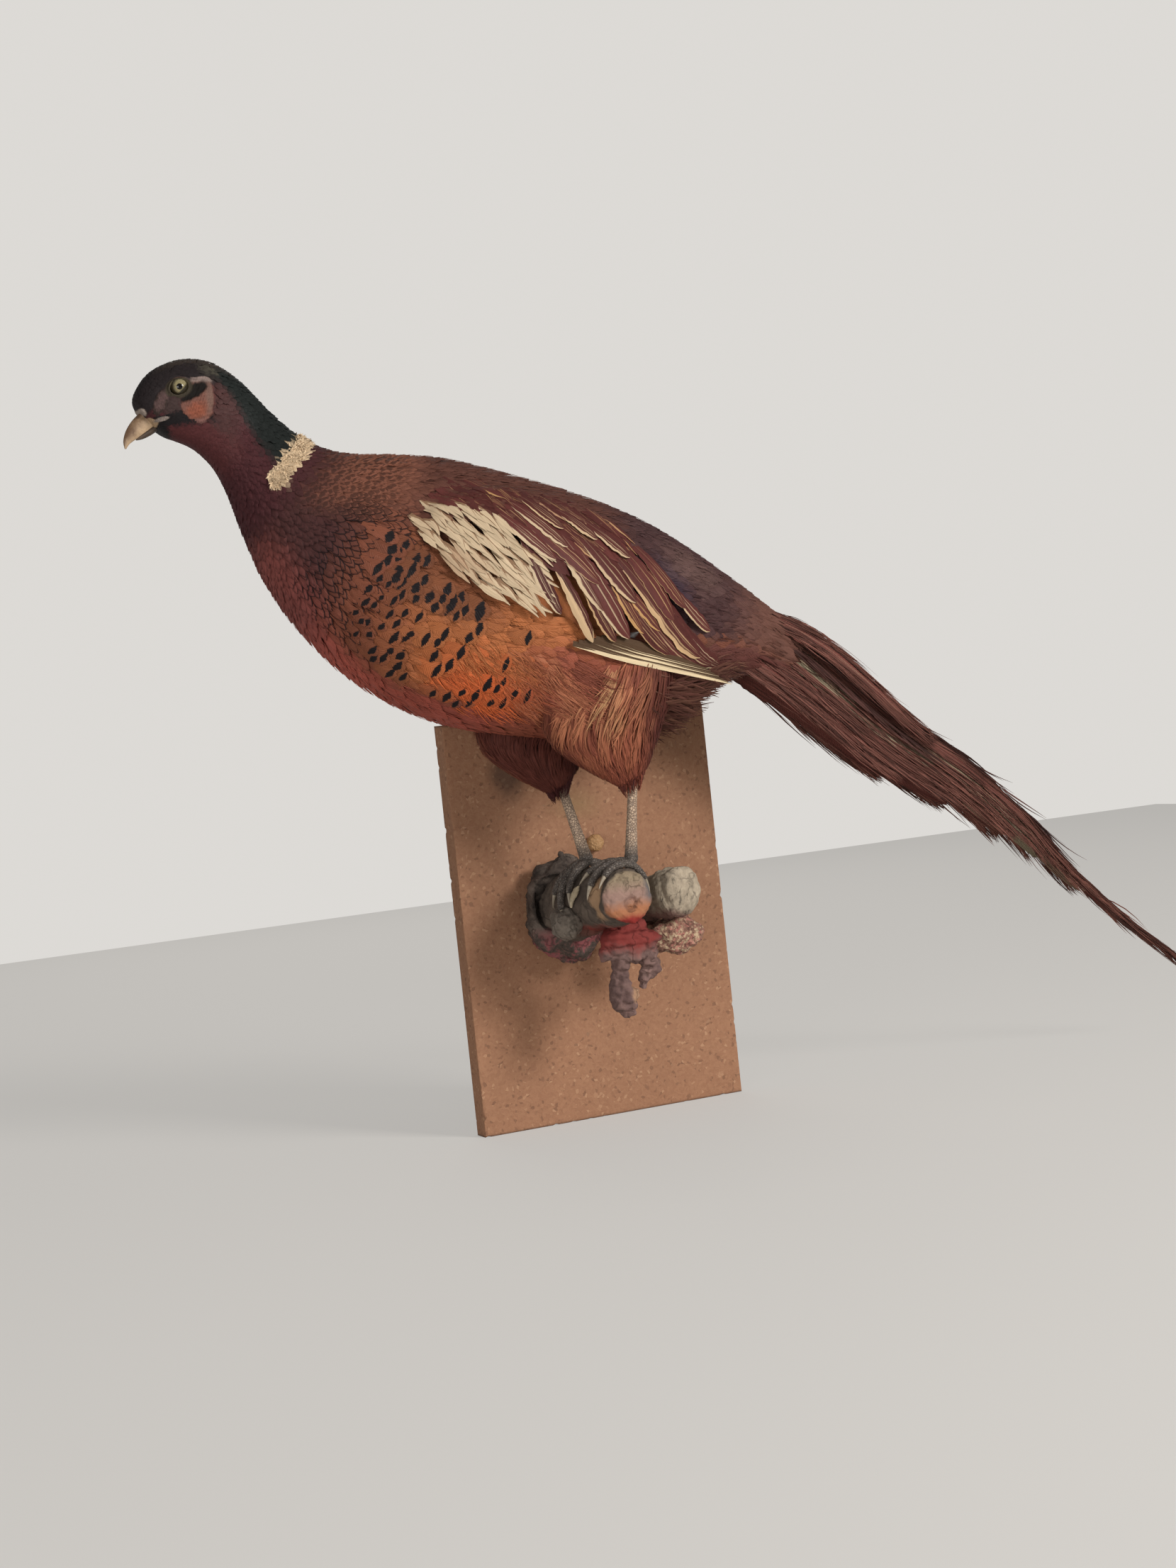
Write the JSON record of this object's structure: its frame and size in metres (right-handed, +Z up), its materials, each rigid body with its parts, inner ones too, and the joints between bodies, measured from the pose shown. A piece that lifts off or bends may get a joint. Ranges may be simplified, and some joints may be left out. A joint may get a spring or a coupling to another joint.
{
  "type": "taxidermy pheasant",
  "caption": "Mounted cock pheasant standing on a short gnarled perch limb that is fixed to a rectangular chipboard wall plaque.",
  "frame": {"origin": "centre of the plaque's back face, which lies against the wall", "axes": "+Z up, +Y out of the plaque's back into the wall, +X from the bird's bill towards its tail"},
  "size_m": [0.7541, 0.1762, 0.5272],
  "materials": {
    "chipboard": "pressed wood chip, unfinished",
    "head_plumage": "glossy short feather, green-black",
    "neck_plumage": "glossy short feather, dark maroon with a white collar",
    "body_plumage": "scalloped feather, maroon to rust orange",
    "rump_plumage": "loose feather, dark maroon with a violet sheen",
    "wing_plumage": "feather, cream and brown",
    "thigh_plumage": "long soft feather, red-brown",
    "tail_plumage": "feather, red-brown with olive centres",
    "bill_horn": "horn, satin",
    "eye_glass": "glass eye, polished",
    "leg_scale": "dry scaled skin",
    "claw_horn": "horn, satin",
    "perch_wood": "weathered grey wood and plaster",
    "perch_paint": "rough wood with old red and purple paint",
    "filler": "set foam filler"
  },
  "bodies": {
    "root": {"board": "chipboard", "head": "head_plumage", "neck": "neck_plumage", "trunk": "body_plumage", "tail_base": "rump_plumage", "bill_upper": "bill_horn", "bill_lower": "bill_horn", "eye_left": "eye_glass", "wing_left": "wing_plumage", "primaries_left": "wing_plumage", "thigh_left": "thigh_plumage", "tarsus_left": "leg_scale", "foot_left": "leg_scale", "claw_left_inner": "claw_horn", "claw_left_middle": "claw_horn", "claw_left_outer": "claw_horn", "claw_left_hind": "claw_horn", "tail_feather_left_1": "tail_plumage", "tail_feather_left_2": "tail_plumage", "tail_feather_left_3": "tail_plumage", "tail_feather_left_4": "tail_plumage", "tail_feather_left_5": "tail_plumage", "tail_feather_left_6": "tail_plumage", "tail_feather_left_7": "tail_plumage", "eye_right": "eye_glass", "wing_right": "wing_plumage", "primaries_right": "wing_plumage", "thigh_right": "thigh_plumage", "tarsus_right": "leg_scale", "foot_right": "leg_scale", "claw_right_inner": "claw_horn", "claw_right_middle": "claw_horn", "claw_right_outer": "claw_horn", "claw_right_hind": "claw_horn", "tail_feather_right_1": "tail_plumage", "tail_feather_right_2": "tail_plumage", "tail_feather_right_3": "tail_plumage", "tail_feather_right_4": "tail_plumage", "tail_feather_right_5": "tail_plumage", "tail_feather_right_6": "tail_plumage", "tail_feather_right_7": "tail_plumage", "perch_limb": "perch_wood", "perch_burl": "perch_wood", "perch_stub": "perch_wood", "perch_knob": "perch_paint", "perch_drip": "perch_paint", "filler_bead": "filler"}
  },
  "joints": []
}
